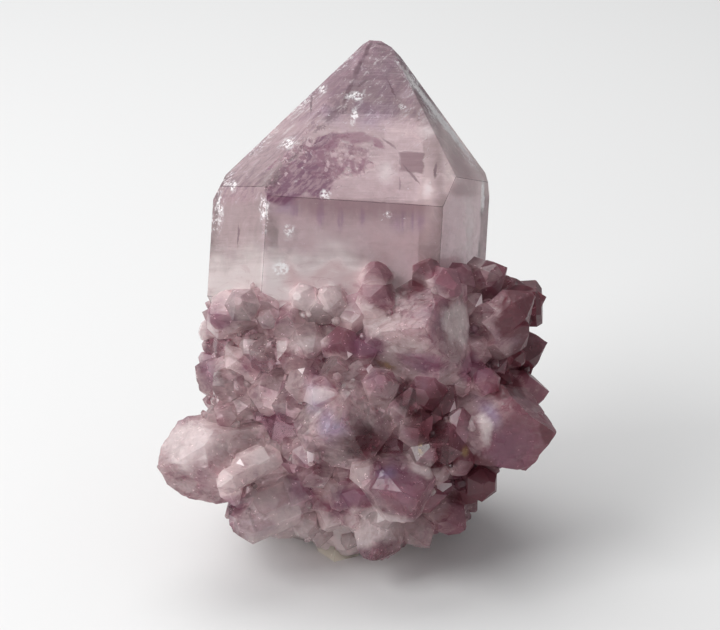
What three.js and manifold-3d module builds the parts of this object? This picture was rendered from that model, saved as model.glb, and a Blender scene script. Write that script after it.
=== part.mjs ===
import * as THREE from 'three';
import { ConvexGeometry } from 'three/addons/geometries/ConvexGeometry.js';
import { mergeVertices } from 'three/addons/utils/BufferGeometryUtils.js';
import Module from 'manifold-3d';

const wasm = await Module();
wasm.setup();

// A spirit quartz point in millimetres: one large crystal whose lower half is coated all round with
// small crystals. It is described upright, as it grew: x to the right, y to the back, z up. At the
// end it leans back and is cut flat where it rests.
const restLean = 22;
const restCut = 1.1;

// Quartz ends in faces that stand this many degrees off the long axis, so their normals rise by it.
const quartzPitch = 38.2;

// The large crystal: the axis leans to the right, and passes through this point of its tip.
const mainLean = 3.5;
const mainTip = { x: 2.8, z: 53 };
const mainFoot = 2.5;

// Inside the coat the large crystal narrows toward its root.
const rootStart = 26;
const rootTaper = 26;

// Its faces, by the way that they look round the axis in degrees. Reach is from the axis to the upright
// face, shoulder is the height of the edge above it, and pitch is the rise of the sloping face's normal.
const mainFaces = [
  { name: 'front', azimuth: -86, reach: 12.3, shoulder: 36.1, pitch: 36.1 },
  { name: 'front left', azimuth: -146, reach: 15.4, shoulder: 37, pitch: 42.6 },
  { name: 'back left', azimuth: 154, reach: 11.9, shoulder: 37.1, pitch: 34.1 },
  { name: 'back', azimuth: 94, reach: 8.5, shoulder: 42.2, pitch: 38.2 },
  { name: 'back right', azimuth: 34, reach: 9.1, shoulder: 40.2, pitch: 31.7 },
  { name: 'front right', azimuth: -26, reach: 11.8, shoulder: 39.2, pitch: 38.2 },
];

// Narrow steeper faces that take off the corners beside the shoulders.
const mainBevels = [
  { name: 'left shoulder', azimuth: -176, reach: 15.8, shoulder: 35.6, pitch: 23.6 },
  { name: 'right shoulder', azimuth: 4, reach: 12.1, shoulder: 37.6, pitch: 11 },
  { name: 'blunt tip', azimuth: 30, reach: 2.6, shoulder: 51.2, pitch: 52 },
];

// The crust under the small crystals, as ellipses one above the other.
const crustLevels = [
  { z: 1.5, left: -6, right: 6, front: 2, back: 10 },
  { z: 4.4, left: -8.4, right: 8.6, front: -6.5, back: 11 },
  { z: 8, left: -10.4, right: 12, front: -10.2, back: 12 },
  { z: 13, left: -12, right: 15, front: -12.4, back: 12.6 },
  { z: 19, left: -12.4, right: 16, front: -13, back: 12.6 },
  { z: 24, left: -12.4, right: 14.8, front: -13, back: 11.6 },
  { z: 28.5, left: -10.6, right: 12.2, front: -10.8, back: 9.5 },
];
const crustSides = 14;

// The broken root of the large crystal, which shows below the coat.
const rootStub = { x: -0.9, y: 1.3, halfWidth: 3.4, halfDepth: 4.2, top: 5, bottom: -4, sides: 7, taper: 0.84 };

// Side crystals that can be told apart: where each starts, where it ends, and its radius.
const sideCrystals = [
  { name: 'big left', from: [-8, -6, 11.9], to: [-18.9, -12.6, 10.3], radius: 4.4, turn: 10 },
  { name: 'big right', from: [9, -6, 14.8], to: [20.2, -12.6, 13.5], radius: 4.8, turn: 24 },
  { name: 'big round', from: [6.2, -6, 23], to: [7.2, -18.2, 23.9], radius: 6.5, turn: 8 },
  { name: 'big centre', from: [-0.2, -7, 15], to: [-0.9, -18.8, 14.4], radius: 5.1, turn: 20 },
  { name: 'lower purple', from: [2, -6, 10], to: [6.6, -16.8, 7.3], radius: 3.7, turn: 0 },
  { name: 'dark right', from: [11.6, -2, 24.8], to: [19.6, -5.8, 26.9], radius: 3.2, turn: 12 },
  { name: 'right upper', from: [11, -5, 21.4], to: [17.6, -11, 24], radius: 2.4, turn: 40 },
  { name: 'right middle', from: [12, -3, 19.6], to: [19.8, -6.2, 22.4], radius: 2.5, turn: 5 },
  { name: 'right bright', from: [12, -4, 17.6], to: [19.8, -7, 17.5], radius: 2.1, turn: 30 },
  { name: 'top right', from: [10.5, -5, 26.6], to: [15.6, -8, 29.8], radius: 1.9, turn: 0 },
  { name: 'upper left', from: [-9, -7.6, 25.6], to: [-13.6, -13, 25.2], radius: 2.1, turn: 15 },
  { name: 'left edge', from: [-9, -1, 24], to: [-14.9, -3, 25.4], radius: 2.6, turn: 30 },
  { name: 'left edge lower', from: [-9, -1, 21], to: [-14.9, -4, 22.2], radius: 2, turn: 0 },
  { name: 'left tip', from: [-10, -5, 17.7], to: [-15.4, -7, 20], radius: 2, turn: 0 },
  { name: 'left small', from: [-9, -7, 18], to: [-13.4, -12.4, 18.2], radius: 1.7, turn: 20 },
  { name: 'left glint', from: [-9, -7, 15], to: [-13.2, -12, 15.6], radius: 1.5, turn: 40 },
  { name: 'white finger', from: [-7.4, -10.6, 11.2], to: [-12.8, -15, 8.4], radius: 1.3, turn: 10 },
  { name: 'lower left', from: [-3.6, -6, 7.8], to: [-11.8, -11, 4.5], radius: 2.6, turn: 30 },
  { name: 'bottom pale', from: [3.6, -5.6, 6.4], to: [2.2, -11.4, 1], radius: 2.4, turn: 0 },
  { name: 'bottom right', from: [6.6, -5, 7.4], to: [11.4, -9, 3.9], radius: 1.8, turn: 25 },
  { name: 'lower right tip', from: [9, -4, 11], to: [14.8, -8.4, 9.6], radius: 1.8, turn: 0 },
  { name: 'lower right small', from: [8.4, -4, 9.4], to: [13.1, -8.6, 7.3], radius: 1.5, turn: 20 },
  { name: 'bottom corner', from: [4.6, -4, 6.4], to: [7.9, -9, 2.3], radius: 1.6, turn: 45 },
  { name: 'pale face', from: [6, -9, 14.2], to: [6.6, -16, 14.2], radius: 1.9, turn: 0 },
  { name: 'wine face', from: [8.4, -8, 12.7], to: [9.4, -15.4, 12.8], radius: 2.3, turn: 15 },
  { name: 'rim left', from: [2.8, -9, 26.4], to: [2.4, -14.6, 29.8], radius: 1.7, turn: 30 },
  { name: 'rim dark', from: [7.4, -9, 26.4], to: [7.5, -14.6, 30.3], radius: 1.7, turn: 0 },
  { name: 'upper kite', from: [-0.9, -9, 21.8], to: [-0.9, -15.8, 22.4], radius: 1.9, turn: 10 },
  { name: 'middle kite', from: [-4.2, -9, 18], to: [-4.4, -15.8, 18.5], radius: 1.9, turn: 40 },
  { name: 'lower kite', from: [-3.2, -9, 10], to: [-3.6, -15.2, 9.9], radius: 2, turn: 25 },
  { name: 'front top left', from: [-8, -7.4, 25.4], to: [-8.7, -14.2, 26.5], radius: 1.9, turn: 50 },
  { name: 'front top middle', from: [-5.6, -8, 24], to: [-6, -14.6, 24.9], radius: 1.9, turn: 15 },
  { name: 'front top right', from: [-3, -8, 25], to: [-3.1, -14.6, 26.3], radius: 1.9, turn: 35 },
  { name: 'front left', from: [-8, -8, 21], to: [-8.4, -14.4, 21.5], radius: 1.9, turn: 5 },
  { name: 'front middle', from: [-5, -8, 20.6], to: [-5, -15, 21.2], radius: 1.9, turn: 28 },
  { name: 'bar', from: [11, -7, 24], to: [15.2, -11.4, 25.4], radius: 1.7, turn: 35 },
];

// How uneven a small crystal is, as shares of its radius: how far its upright faces stand from its
// axis, and how far every other sloping face is set out, which leaves it smaller than its neighbours.
const unevenSide = [0.78, 0.98];
const unevenSlope = [0.12, 0.42];

// The rest of the coat: small crystals spread over the crust by chance, but the same on each build.
const coat = {
  seed: 581,
  tries: 12000,
  low: 1.8,
  high: 28.5,
  spacing: [2.5, 3.8],
  radius: [1.7, 2.6],
  length: [3.9, 5.4],
  sink: 2.2,
  scatter: 0.6,
};

// Crystals of the coat tilt up above this height and down below it. Toward the back they are larger,
// and in front of the root none hangs lower than the outline of the coat.
const levelHeight = 9;
const tiltPerMm = 0.0225;
const backGrowth = { from: 0, to: 8, share: 1.3 };
const hangLimit = { lowest: 2.6, frontOf: 2 };

// Where along a named crystal the coat keeps clear of it, and by what share of its radius.
const clearAt = 0.55;
const clearShare = 0.95;

const groundBox = 200;
const weldGap = 0.12;
const stepRound = 0.05;
const stepUp = 0.5;

const radians = THREE.MathUtils.degToRad;

function randomSource(seed) {
  let state = seed;
  return () => {
    state = (state + 0x6d2b79f5) | 0;
    let mixed = Math.imul(state ^ (state >>> 15), 1 | state);
    mixed = (mixed + Math.imul(mixed ^ (mixed >>> 7), 61 | mixed)) ^ mixed;
    return ((mixed ^ (mixed >>> 14)) >>> 0) / 4294967296;
  };
}

function between(range, share) {
  return range[0] + (range[1] - range[0]) * share;
}

// A plane of a crystal whose axis is z, with its normal turned round z and raised by the pitch.
function crystalPlane(azimuth, pitch, reach, height) {
  const turn = radians(azimuth);
  const rise = radians(pitch);
  const normal = new THREE.Vector3(
    Math.cos(turn) * Math.cos(rise),
    Math.sin(turn) * Math.cos(rise),
    Math.sin(rise),
  );
  return new THREE.Plane(normal, -(reach * Math.cos(rise) + height * Math.sin(rise)));
}

function meetingPoint(a, b, c) {
  const bc = new THREE.Vector3().crossVectors(b.normal, c.normal);
  const ca = new THREE.Vector3().crossVectors(c.normal, a.normal);
  const ab = new THREE.Vector3().crossVectors(a.normal, b.normal);
  const volume = a.normal.dot(bc);
  if (Math.abs(volume) < 1e-6) return null;
  return bc.multiplyScalar(-a.constant)
    .addScaledVector(ca, -b.constant)
    .addScaledVector(ab, -c.constant)
    .divideScalar(volume);
}

// The corners of the convex body that all the planes leave, each one kept once.
function cornersInside(planes) {
  const corners = [];
  for (let i = 0; i < planes.length; i += 1) {
    for (let j = i + 1; j < planes.length; j += 1) {
      for (let k = j + 1; k < planes.length; k += 1) {
        const point = meetingPoint(planes[i], planes[j], planes[k]);
        if (!point) continue;
        if (planes.some((plane) => plane.distanceToPoint(point) > 1e-6)) continue;
        if (corners.some((corner) => corner.distanceTo(point) < weldGap)) continue;
        corners.push(point);
      }
    }
  }
  return corners;
}

function solidFromMesh(geometry) {
  const bare = geometry.clone();
  bare.deleteAttribute('normal');
  bare.deleteAttribute('uv');
  const merged = mergeVertices(bare, 1e-5);
  return new wasm.Manifold(new wasm.Mesh({
    numProp: 3,
    vertProperties: new Float32Array(merged.attributes.position.array),
    triVerts: new Uint32Array(merged.index.array),
  }));
}

function solidFromCorners(corners) {
  return solidFromMesh(new ConvexGeometry(corners));
}

function meshFromSolid(solid) {
  const { vertProperties, triVerts } = solid.getMesh();
  const geometry = new THREE.BufferGeometry();
  geometry.setAttribute('position', new THREE.BufferAttribute(new Float32Array(vertProperties), 3));
  geometry.setIndex(new THREE.BufferAttribute(new Uint32Array(triVerts), 1));
  return geometry;
}

function joined(solids) {
  if (solids.length === 1) return solids[0];
  const half = Math.ceil(solids.length / 2);
  return joined(solids.slice(0, half)).add(joined(solids.slice(half)));
}

// The large crystal, tip to the root inside the coat.
function mainCrystal() {
  const planes = [new THREE.Plane(new THREE.Vector3(0, 0, -1), mainFoot)];
  for (const face of mainFaces) {
    planes.push(crystalPlane(face.azimuth, 0, face.reach, 0));
    planes.push(crystalPlane(face.azimuth, face.pitch, face.reach, face.shoulder));
    planes.push(crystalPlane(face.azimuth, -rootTaper, face.reach, rootStart));
  }
  for (const bevel of mainBevels) {
    planes.push(crystalPlane(bevel.azimuth, bevel.pitch, bevel.reach, bevel.shoulder));
  }
  const lean = new THREE.Matrix4().makeRotationY(radians(mainLean));
  const corners = cornersInside(planes).map((corner) => corner.applyMatrix4(lean));
  const tip = new THREE.Vector3(0, 0, mainTip.z).applyMatrix4(lean);
  const shift = new THREE.Vector3(mainTip.x - tip.x, 0, mainTip.z - tip.z);
  return solidFromCorners(corners.map((corner) => corner.add(shift)));
}

// One small crystal: uneven faces round the axis from its start to its tip, all at the quartz angles.
function sideCrystal(from, to, radius, turn, random) {
  const start = new THREE.Vector3(...from);
  const axis = new THREE.Vector3(...to).sub(start);
  const length = axis.length();
  const planes = [new THREE.Plane(new THREE.Vector3(0, 0, -1), 0)];
  for (let side = 0; side < 6; side += 1) {
    const azimuth = turn + side * 60;
    const apothem = radius * between(unevenSide, random());
    const lift = side % 2 ? radius * between(unevenSlope, random()) : 0;
    planes.push(crystalPlane(azimuth, 0, apothem, 0));
    planes.push(crystalPlane(azimuth, quartzPitch, 0, length + lift));
  }
  const place = new THREE.Quaternion().setFromUnitVectors(
    new THREE.Vector3(0, 0, 1),
    axis.clone().normalize(),
  );
  const corners = cornersInside(planes).map((corner) => corner.applyQuaternion(place).add(start));
  return solidFromCorners(corners);
}

function crustAt(z) {
  const last = crustLevels.length - 1;
  let low = 0;
  while (low < last - 1 && z > crustLevels[low + 1].z) low += 1;
  const share = THREE.MathUtils.clamp(
    (z - crustLevels[low].z) / (crustLevels[low + 1].z - crustLevels[low].z), 0, 1);
  const mix = (key) => between([crustLevels[low][key], crustLevels[low + 1][key]], share);
  return { left: mix('left'), right: mix('right'), front: mix('front'), back: mix('back') };
}

function crustPoint(angle, z) {
  const ring = crustAt(z);
  const centre = new THREE.Vector3((ring.left + ring.right) / 2, (ring.front + ring.back) / 2, z);
  return centre.add(new THREE.Vector3(
    Math.cos(angle) * (ring.right - ring.left) / 2,
    Math.sin(angle) * (ring.back - ring.front) / 2,
    0,
  ));
}

// The way out of the crust at a point, from a short step round it and one up it.
function crustNormal(angle, z) {
  const around = crustPoint(angle + stepRound, z).sub(crustPoint(angle - stepRound, z));
  const up = crustPoint(angle, z + stepUp).sub(crustPoint(angle, z - stepUp));
  return around.cross(up).normalize();
}

function crust() {
  const points = [];
  for (const level of crustLevels) {
    for (let side = 0; side < crustSides; side += 1) {
      points.push(crustPoint((side / crustSides) * Math.PI * 2, level.z));
    }
  }
  return solidFromCorners(points);
}

function stub() {
  const { x, y, halfWidth, halfDepth, top, bottom, sides, taper } = rootStub;
  const points = [];
  for (let side = 0; side < sides; side += 1) {
    const angle = (side / sides) * Math.PI * 2;
    const uneven = side % 2 ? 1 : taper;
    const out = new THREE.Vector3(Math.cos(angle) * halfWidth, Math.sin(angle) * halfDepth, 0);
    out.multiplyScalar(uneven);
    points.push(new THREE.Vector3(x, y, top).add(out));
    points.push(new THREE.Vector3(x, y, bottom).add(out.multiplyScalar(taper)));
  }
  return solidFromCorners(points);
}

// Small crystals over the whole crust. Each keeps its distance from the ones before it.
function coatCrystals() {
  const random = randomSource(coat.seed);
  const taken = sideCrystals.map((side) => ({
    point: new THREE.Vector3(...side.from).lerp(new THREE.Vector3(...side.to), clearAt),
    gap: side.radius * clearShare,
  }));
  const solids = [];
  for (let attempt = 0; attempt < coat.tries; attempt += 1) {
    const angle = random() * Math.PI * 2;
    const z = between([coat.low, coat.high], random());
    const size = random();
    const point = crustPoint(angle, z);
    const out = crustNormal(angle, z);
    const backness = THREE.MathUtils.smoothstep(point.y, backGrowth.from, backGrowth.to);
    const growth = between([1, backGrowth.share], backness);
    const gap = between(coat.spacing, size) * growth;
    if (taken.some((other) => other.point.distanceTo(point) < Math.max(gap, other.gap))) continue;
    taken.push({ point, gap });
    const rise = (z - levelHeight) * tiltPerMm;
    const scatter = new THREE.Vector3(random() - 0.5, random() - 0.5, random() - 0.5);
    const way = out.clone()
      .add(new THREE.Vector3(0, 0, rise))
      .addScaledVector(scatter, coat.scatter)
      .normalize();
    const start = point.clone().addScaledVector(way, -coat.sink);
    const tip = start.clone().addScaledVector(way, between(coat.length, random()));
    if (tip.z < hangLimit.lowest && tip.y < hangLimit.frontOf) continue;
    const radius = between(coat.radius, size) * growth;
    solids.push(sideCrystal(start.toArray(), tip.toArray(), radius, random() * 60, random));
  }
  return solids;
}

function namedCrystals() {
  const random = randomSource(coat.seed + 1);
  return sideCrystals.map((side) => sideCrystal(side.from, side.to, side.radius, side.turn, random));
}

function specimen() {
  const grown = joined([mainCrystal(), crust(), stub(), ...namedCrystals(), ...coatCrystals()]);
  const leaned = meshFromSolid(grown).applyMatrix4(new THREE.Matrix4().makeRotationX(-radians(restLean)));
  const ground = new THREE.BoxGeometry(groundBox, groundBox, groundBox);
  ground.translate(0, 0, restCut - groundBox / 2);
  const resting = meshFromSolid(solidFromMesh(leaned).subtract(solidFromMesh(ground)));
  resting.computeBoundingBox();
  const box = resting.boundingBox;
  resting.translate(-(box.min.x + box.max.x) / 2, -(box.min.y + box.max.y) / 2, -box.min.z);
  return resting;
}

function amethystMaterial() {
  return new THREE.MeshStandardMaterial({ color: 0x9c8088, roughness: 0.25, metalness: 0, flatShading: true });
}

const quartz = new THREE.Mesh(specimen(), amethystMaterial());
quartz.name = 'spirit_quartz';

const part = new THREE.Group();
part.name = 'spirit_quartz_point';
part.add(quartz);

export default part;
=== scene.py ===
import math
import random

import bmesh
import bpy
from mathutils import Matrix, Vector, noise


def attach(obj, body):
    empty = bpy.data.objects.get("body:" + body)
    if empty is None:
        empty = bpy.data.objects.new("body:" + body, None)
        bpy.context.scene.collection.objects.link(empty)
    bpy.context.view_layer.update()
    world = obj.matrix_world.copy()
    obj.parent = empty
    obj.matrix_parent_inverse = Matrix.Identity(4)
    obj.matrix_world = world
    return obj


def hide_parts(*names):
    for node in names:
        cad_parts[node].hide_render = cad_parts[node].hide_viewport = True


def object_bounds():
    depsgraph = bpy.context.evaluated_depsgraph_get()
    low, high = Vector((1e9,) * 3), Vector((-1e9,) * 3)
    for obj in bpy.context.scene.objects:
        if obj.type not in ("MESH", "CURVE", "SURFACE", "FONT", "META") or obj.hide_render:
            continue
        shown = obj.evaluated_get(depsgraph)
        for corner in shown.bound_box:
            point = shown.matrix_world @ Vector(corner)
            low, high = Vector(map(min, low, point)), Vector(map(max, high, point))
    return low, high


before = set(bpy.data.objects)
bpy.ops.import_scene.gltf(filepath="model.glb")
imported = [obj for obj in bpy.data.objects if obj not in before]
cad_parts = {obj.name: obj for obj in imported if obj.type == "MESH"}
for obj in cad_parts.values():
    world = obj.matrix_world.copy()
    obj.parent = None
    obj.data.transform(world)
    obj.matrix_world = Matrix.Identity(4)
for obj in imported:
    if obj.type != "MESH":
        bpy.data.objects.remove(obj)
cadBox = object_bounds()
noise.seed_set(11)  # noise vectors would change from run to run without it

# Spirit quartz on a pale table. The frame is in metres with Z up; most sizes below are millimetres in
# the crystal's own upright space: x right, y back, z up, as the camera sees it.
mm = 0.001
lean = math.radians(22)
uprightShift = Vector((0.65, 5.512, 1.1))

toUpright = Matrix.Rotation(lean, 4, "X") @ Matrix.Translation(uprightShift) @ Matrix.Scale(1 / mm, 4)
toRest = toUpright.inverted()
throughDepth = 1e5  # a spot's reach in depth, so that it goes right through the crystal


def fromUpright(x, y, z):
    return toRest @ Vector((x, y, z))


# Shader maths: a wrapped socket is added, taken away and multiplied like a number, on either side of one.
class Value:
    def __init__(self, graph, socket):
        self.graph = graph
        self.socket = socket

    def maths(self, operation, *others):
        return self.graph.node("ShaderNodeMath", {"operation": operation}, dict(enumerate([self, *others])))

    def __add__(self, other):
        return self.maths("ADD", other)

    def __radd__(self, other):
        return self.maths("ADD", other)

    def __sub__(self, other):
        return self.maths("SUBTRACT", other)

    def __rsub__(self, other):
        return self.graph.node("ShaderNodeMath", {"operation": "SUBTRACT"}, {0: other, 1: self})

    def __mul__(self, other):
        return self.maths("MULTIPLY", other)

    def __rmul__(self, other):
        return self.maths("MULTIPLY", other)

    def most(self, other):
        return self.maths("MAXIMUM", other)

    def least(self, other):
        return self.maths("MINIMUM", other)

    # Nothing at low, one at high, with a soft start and end.
    def step(self, low, high):
        inputs = {"Value": self, "From Min": low, "From Max": high}
        return self.graph.node("ShaderNodeMapRange", {"interpolation_type": "SMOOTHSTEP"}, inputs)

    def out(self, name):
        return Value(self.graph, self.socket.node.outputs[name])


class Graph:
    def __init__(self, name):
        self.material = bpy.data.materials.new(name)
        self.material.use_nodes = True
        self.tree = self.material.node_tree
        self.tree.nodes.clear()

    def node(self, kind, settings=None, inputs=None, output=0):
        made = self.tree.nodes.new(kind)
        for name, value in (settings or {}).items():
            setattr(made, name, value)
        for name, value in (inputs or {}).items():
            if isinstance(value, Value):
                self.tree.links.new(value.socket, made.inputs[name])
            else:
                made.inputs[name].default_value = value
        return Value(self, made.outputs[output] if made.outputs else None)

    def mix(self, share, first, second, blend="MIX"):
        made = self.tree.nodes.new("ShaderNodeMix")
        made.data_type = "RGBA"
        made.blend_type = blend
        for index, value in ((0, share), (6, first), (7, second)):
            if isinstance(value, Value):
                self.tree.links.new(value.socket, made.inputs[index])
            elif index:
                made.inputs[index].default_value = (*value, 1)
            else:
                made.inputs[index].default_value = value
        return Value(self, made.outputs[2])

    # Object coordinates turned into the upright millimetre space.
    def upright(self):
        place = self.node("ShaderNodeTexCoord", output="Object")
        offset = Matrix.Rotation(lean, 3, "X") @ uprightShift
        return self.node("ShaderNodeMapping", {}, {
            "Vector": place, "Location": offset, "Rotation": (lean, 0, 0), "Scale": (1 / mm,) * 3})

    def noise(self, where, scale, detail=3, roughness=0.55, output="Factor", **more):
        settings = {"noise_dimensions": "3D"}
        values = {"Vector": where, "Scale": scale, "Detail": detail, "Roughness": roughness, **more}
        made = self.node("ShaderNodeTexNoise", settings, values)
        return made if output == "Factor" else made.out("Color")

    # The place seen from a spot of the upright X and Z, turned by some degrees, in that spot's own sizes.
    def spot(self, place, left, up, width, height, turn):
        return self.node("ShaderNodeMapping", {"vector_type": "TEXTURE"}, {
            "Vector": place, "Location": (left, 0, up), "Rotation": (0, math.radians(turn), 0),
            "Scale": (width, throughDepth, height)})

    # One in the middle of an oval spot, to nothing at its rim.
    def oval(self, place, left, up, width, height, turn=0, heart=0.0):
        inside = self.spot(place, left, up, width, height, turn)
        far = self.node("ShaderNodeVectorMath", {"operation": "LENGTH"}, {0: inside}, output="Value")
        return far.step(1, heart)

    def ovals(self, place, shapes, heart=0.0):
        found = None
        for shape in shapes:
            oval = self.oval(place, *shape, heart=heart)
            found = found.most(oval) if found else oval
        return found

    # One inside a box shaped spot, falling to nothing over a soft rim.
    def patch(self, place, left, up, width, height, turn, soft):
        inside = self.spot(place, left, up, width, height, turn)
        x, _, z = self.split(self.node("ShaderNodeVectorMath", {"operation": "ABSOLUTE"}, {0: inside}))
        return x.most(z).step(1 + soft, 1 - soft)

    # The place moved by a colour, which moves nothing where it is middle grey.
    def pushed(self, place, colour, amount):
        push = self.node("ShaderNodeVectorMath", {"operation": "SUBTRACT"}, {0: colour, 1: (0.5,) * 3})
        settings = {"operation": "MULTIPLY_ADD"}
        return self.node("ShaderNodeVectorMath", settings, {0: push, 1: (amount,) * 3, 2: place})

    # The place pushed about by noise, so that what is drawn there has ragged edges.
    def shaken(self, place, scale, amount):
        return self.pushed(place, self.noise(place, scale, 2, 0.6, output="Color"), amount)

    # The place moved cell by cell, so that what is drawn there has broken, straight-sided edges.
    def chipped(self, place, scale, amount):
        cells = self.node("ShaderNodeTexVoronoi", {}, {"Vector": place, "Scale": scale}, output="Color")
        return self.pushed(place, cells, amount)

    # Coordinates drawn out along a line that is turned by some degrees from the upright X.
    def grain(self, place, turn, along, across):
        return self.node("ShaderNodeMapping", {"vector_type": "TEXTURE"}, {
            "Vector": place, "Rotation": (0, math.radians(turn), 0), "Scale": (along, 1, across)})

    def split(self, vector):
        parts = self.node("ShaderNodeSeparateXYZ", {}, {0: vector})
        return parts, parts.out("Y"), parts.out("Z")

    def stretch(self, vector, scale):
        return self.node("ShaderNodeVectorMath", {"operation": "MULTIPLY"}, {0: vector, 1: scale})

    def attribute(self, name, output="Fac"):
        return self.node("ShaderNodeAttribute", {"attribute_name": name}).out(output)

    def finish(self, surface, volume=None):
        out = self.tree.nodes.new("ShaderNodeOutputMaterial")
        self.tree.links.new(surface.socket, out.inputs["Surface"])
        if volume:
            self.tree.links.new(volume.socket, out.inputs["Volume"])
        return self.material


def newObject(name, mesh):
    made = bpy.data.objects.new(name, mesh)
    bpy.context.scene.collection.objects.link(made)
    return made


# Colour clouds inside the druse, as upright x, z, half width, half height.
druseClouds = {
    "wine": (
        (6.3, 27.9, 2.4, 2.0), (7.7, 30.4, 1.3, 1.4), (1.2, 12.6, 2.9, 2.4),
        (7.8, 15.4, 3.2, 3.4), (9.0, 11.6, 2.4, 1.8),
        (17.0, 26.2, 3.2, 3.6), (17.8, 21.0, 2.2, 2.4), (12.4, 9.4, 2.8, 2.4), (8.8, 12.6, 1.9, 1.9),
        (6.2, 16.8, 1.7, 2.2), (19.2, 13.0, 1.1, 1.1), (16.9, 24.6, 1.5, 1.6),
        (13.0, 7.0, 3.0, 2.6), (18.4, 27.6, 2.0, 2.8), (18.0, 21.4, 2.2, 2.6), (15.6, 17.6, 1.6, 1.2),
    ),
    "purple": (
        (-12.8, 25.0, 2.2, 1.5), (-8.8, 20.0, 2.2, 1.4), (-7.2, 14.7, 2.4, 1.3), (-11.8, 6.4, 2.2, 1.2),
        (-5.0, 7.0, 2.0, 2.4), (-14.5, 19.5, 1.5, 2.5), (0.0, 7.2, 2.5, 1.6), (15.0, 12.0, 2.8, 3.2),
        (2.0, 22.0, 2.2, 1.6), (-3.4, 19.4, 1.6, 1.2), (12.2, 19.4, 2.0, 1.8), (7.0, 20.5, 2.5, 1.5),
        (4.2, 9.2, 3.2, 2.8), (-8.8, 4.2, 1.6, 0.9),
    ),
    # Of the pale ovals, the wide ones low down, at z 3 to 5, are painted light that lightens the lowest
    # crystals.
    "pale": (
        (10.8, 24.2, 1.3, 3.0), (-3.0, 17.0, 2.0, 1.2), (7.2, 10.2, 0.8, 1.3), (12.4, 14.0, 0.9, 1.7),
        (1.0, 3.4, 5.5, 2.0), (-14.8, 23.4, 0.9, 3.6), (-9.0, 3.4, 2.5, 1.4), (-15.6, 12.6, 3.4, 2.8),
        (-4.6, 27.0, 3.5, 2.4), (-8.0, 11.0, 2.4, 2.0), (-6.0, 4.2, 6.0, 2.8), (3.0, 4.6, 5.0, 1.6),
        (-8.0, 7.0, 2.6, 1.4), (-4.0, 22.6, 2.6, 1.4),
    ),
    # Blue is a painted iridescent sheen on a few faces.
    "blue": ((-1.9, 14.2, 1.5, 1.3), (-3.4, 16.6, 1.0, 1.6), (3.4, 9.6, 1.2, 0.8), (13.4, 15.6, 1.2, 1.6)),
}

cloudLook = {
    "kinds": ("wine", "purple", "pale", "blue"),
    "drift": (0.28, 1.5),
    "front": (-1, 6),
    "reach": 1.25,
}


def held(value):
    return min(max(value, 0), 1)


# Every vertex keeps how much wine, purple, pale and blue reaches it.
def paintClouds(bm):
    size, amount = cloudLook["drift"]
    nearest, farthest = cloudLook["front"]
    layer = bm.verts.layers.float_color.new("clouds")
    for vert in bm.verts:
        x, y, z = vert.co + noise.noise_vector(vert.co * size) * amount
        front = held((farthest - y) / (farthest - nearest))
        shares = []
        for kind in cloudLook["kinds"]:
            clouds = druseClouds[kind]
            far = min(math.hypot((x - left) / wide, (z - up) / high) for left, up, wide, high in clouds)
            shares.append(front * held(cloudLook["reach"] - far))
        vert[layer] = shares


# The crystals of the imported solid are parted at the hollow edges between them, smaller ones are grown
# into those hollows, and all are parted again. Each then gets a tone, 0 pale to 1 dark wine, and a haze,
# 0 clear to 1 milky; rise runs from 0 at its root to 1 at its tip.
bodyLook = {
    "merge": 1e-4,
    "flat": 0.6,
    "hollow": -0.01,
    "seed": 7,
    "heart": (0, -2, 14),
    "tone": (0.1, 0.9),
    "haze": (0.25, 0.7),
    "named": {
        "leftTip": ((-14, -9, 11), 0.5, 0.6),
        "rightTip": ((15.5, -10, 14), 0.5, 0.5),
        "bigRound": ((6.5, -13.5, 23.5), 0.42, 0.62),
        "centre": ((-0.5, -15, 14.6), 0.4, 0.45),
        "lowerPurple": ((4.8, -13, 8.4), 0.85, 0.45),
        "darkRight": ((16.5, -3.5, 26), 1.0, 0.35),
        "brightSplinter": ((-10.4, -13.2, 10.3), 0.0, 0.8),
        "roseRim": ((2.4, -13, 27.6), 0.85, 0.75),
        "wineRim": ((7.4, -12.6, 29.2), 0.95, 0.7),
    },
    # Places of painted highlights, as upright x and z.
    "glints": (
        (-0.9, 22.3), (-4.3, 18.4), (-3.4, 10.0), (1.7, 19.3), (9.3, 9.9), (9.5, 8.2), (9.8, 16.5),
        (12.6, 26.4), (-10.3, 10.0), (-4.0, 2.9), (13.4, 13.0),
    ),
    "glintArea": (0.25, 1.2),
    "glintFacing": -0.3,
    "glintFront": -3,
    "glintDepth": 0.08,
    "namedFaces": 6,
    "namedReach": 3.2,
    "hullFaces": 5,
    "blunt": (0.4, 0.8, 1.2),
    "bluntFrom": 2,
    "ridge": 0.15,
    "bevelMain": (0.28, 3.0),
    "tipFrom": 52.2,
    "bevelCrystal": (0.07, 1.3),
    "paintGrain": 1.3,
    "halvings": 4,
}

# The materials of the body in the order of their slots.
bodySlots = ("point", "crust", "druse", "pointEdge", "druseEdge")
pointSlot, crustSlot, druseSlot, pointEdgeSlot, druseEdgeSlot = range(len(bodySlots))

fillLook = {
    "seed": 31,
    "tries": 2600,
    "apart": 2.7,
    "radius": (1.0, 2.2),
    "length": (0.9, 1.8),
    "tilt": 0.3,
    "blunt": (0.05, 0.5),
    "topFront": 27.2,
    "lowest": 0.7,
    "batchGap": 6.5,
    "byPoint": 0.7,
    "short": 0.6,
    "inBox": 0.8,
}

hollowLook = {
    "deep": -0.3,
    "long": 0.4,
}

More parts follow.
